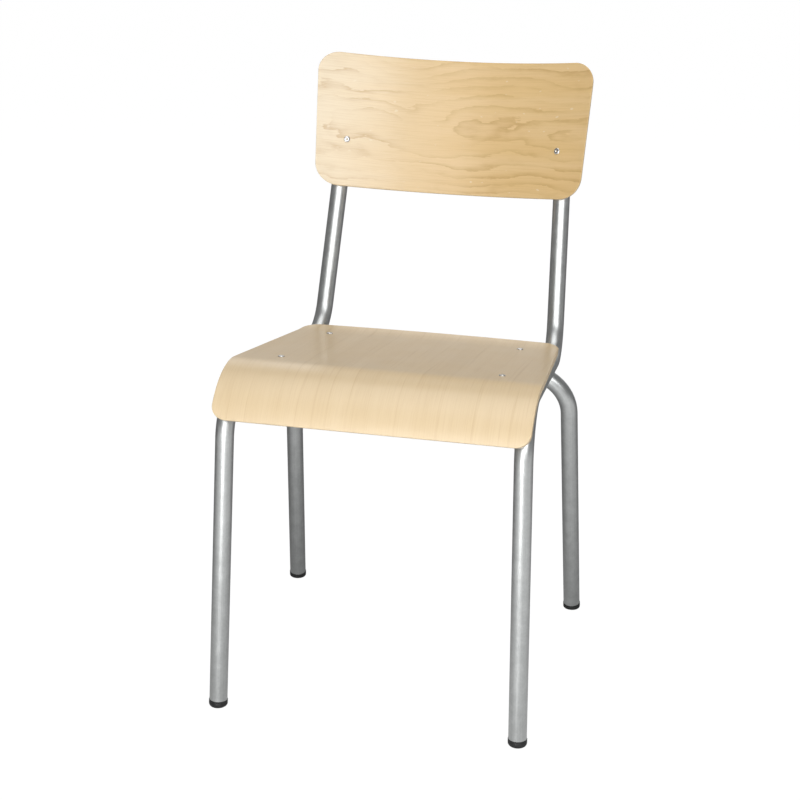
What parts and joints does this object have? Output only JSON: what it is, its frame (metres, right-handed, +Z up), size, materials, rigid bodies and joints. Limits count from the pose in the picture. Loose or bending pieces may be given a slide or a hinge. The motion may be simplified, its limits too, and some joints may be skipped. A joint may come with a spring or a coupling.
{
  "type": "stacking chair",
  "caption": "Armless stacking chair: bent round steel tube frame, moulded plywood seat with a curved front drop, curved plywood back board, black foot caps.",
  "frame": {"origin": "below the middle of the bounding box, on the floor", "axes": "+Z up, the chair faces -Y, +X to the right of a viewer who looks at its front"},
  "size_m": [0.474, 0.5825, 0.8333],
  "materials": {
    "frame_steel": "drawn tube with a satin zinc-grey finish",
    "seat_plywood": "pale ash-like veneer, grain running front to back, satin lacquer",
    "back_plywood": "pale ash-like veneer, cathedral grain running side to side, satin lacquer",
    "rivet_steel": "bright domed rivet",
    "foot_plastic": "fine matte black",
    "plug_plastic": "fine matte black",
    "weld_steel": "rippled weld bead under the same grey finish"
  },
  "bodies": {
    "root": {"right_side_tube": "frame_steel", "left_side_tube": "frame_steel", "rear_leg_tube": "frame_steel", "front_cross_tube": "frame_steel", "rear_cross_tube": "frame_steel", "seat_board": "seat_plywood", "back_board": "back_plywood", "rivet_front_right": "rivet_steel", "rivet_front_left": "rivet_steel", "rivet_rear_right": "rivet_steel", "rivet_rear_left": "rivet_steel", "back_rivet_right": "rivet_steel", "back_rivet_left": "rivet_steel", "foot_front_right": "foot_plastic", "foot_front_left": "foot_plastic", "foot_rear_right": "foot_plastic", "foot_rear_left": "foot_plastic", "plug_right": "plug_plastic", "plug_left": "plug_plastic", "weld_front_right": "weld_steel", "weld_front_left": "weld_steel", "weld_rear_right": "weld_steel", "weld_rear_left": "weld_steel", "weld_hoop_right": "weld_steel", "weld_hoop_left": "weld_steel"}
  },
  "joints": []
}
